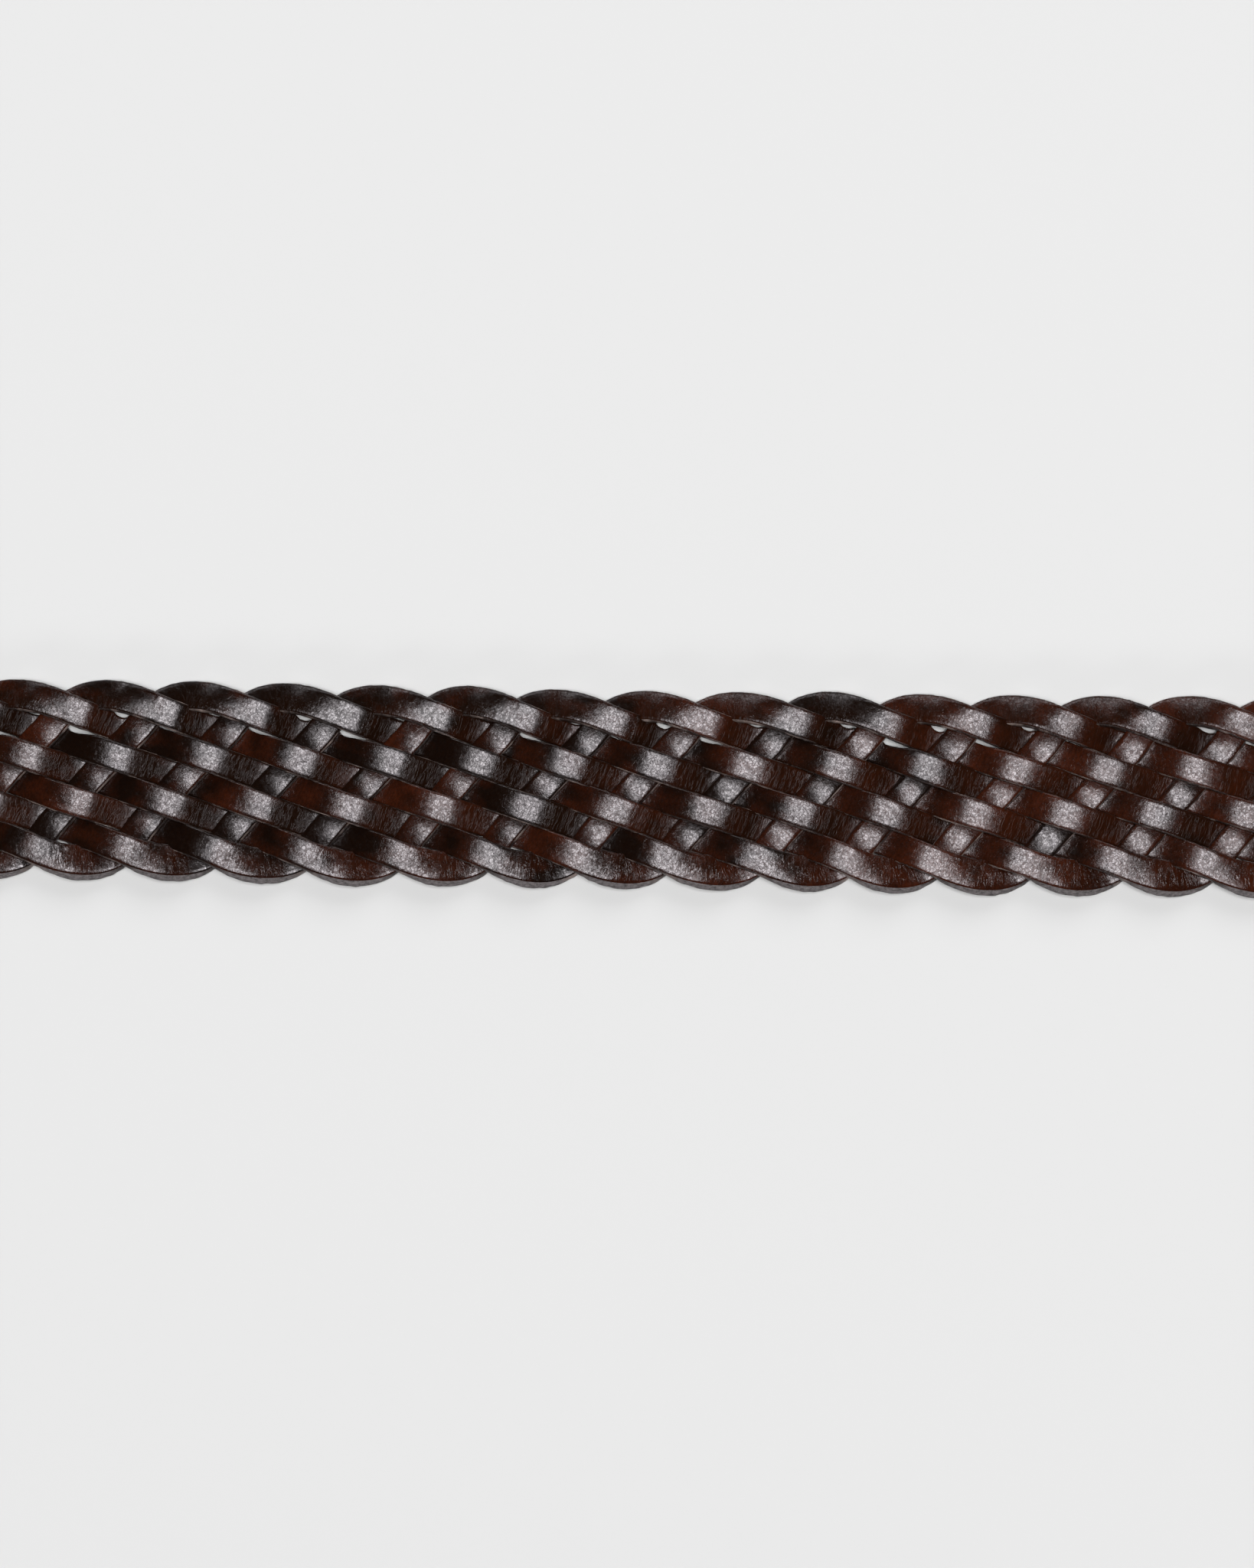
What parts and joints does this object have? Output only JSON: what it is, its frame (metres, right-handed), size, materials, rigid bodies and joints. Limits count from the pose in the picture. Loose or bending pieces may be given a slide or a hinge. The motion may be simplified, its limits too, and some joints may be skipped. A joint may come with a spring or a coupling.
{
  "type": "braided leather belt",
  "caption": "Dark brown belt plaited from flat leather strands, laid straight, with a leather buckle end, hinged frame and prong, sliding keeper and stitched leather tip.",
  "frame": {"origin": "centre of the bounding box at its lowest point, on the surface that the belt lies on", "axes": "+X along the strap from the buckle to the tip, +Y across it, +Z out of its front face"},
  "size_m": [1.0306, 0.043, 0.0163],
  "materials": {
    "braid_leather": "glossy dark brown grain with crinkled bends and raw cut edges",
    "tab_leather": "semi-gloss dark brown grain with dyed edges",
    "filler_leather": "undyed flesh side",
    "thread": "waxed dark brown thread",
    "buckle_metal": "satin antique brass plating",
    "steel": "plain drawn wire"
  },
  "bodies": {
    "strap": {"strand_1": "braid_leather", "strand_2": "braid_leather", "strand_3": "braid_leather", "strand_4": "braid_leather", "strand_5": "braid_leather", "strand_6": "braid_leather", "strand_7": "braid_leather", "strand_8": "braid_leather", "chape": "tab_leather", "chape_filler": "filler_leather", "chape_front_thread": "thread", "chape_back_thread": "thread", "tip_front": "tab_leather", "tip_back": "tab_leather", "tip_filler": "filler_leather", "tip_front_thread": "thread", "tip_back_thread": "thread"},
    "buckle": {"buckle_frame": "buckle_metal", "buckle_bar": "steel"},
    "prong": {"prong": "buckle_metal"},
    "keeper": {"keeper_loop": "tab_leather", "keeper_staple": "steel"}
  },
  "joints": [
    {"name": "frame_swing", "type": "hinge", "parent": "strap", "child": "buckle", "pos_m": [-0.48471, 0, 0.0058], "axis": [0, 1, 0], "range_deg": [-135, 45]},
    {"name": "prong_swing", "type": "hinge", "parent": "buckle", "child": "prong", "pos_m": [-0.48471, 0, 0.0058], "axis": [0, 1, 0], "range_deg": [0, 90]},
    {"name": "keeper_slide", "type": "slide", "parent": "strap", "child": "keeper", "axis": [1, 0, 0], "range_m": [-0.008, 0.024]}
  ]
}
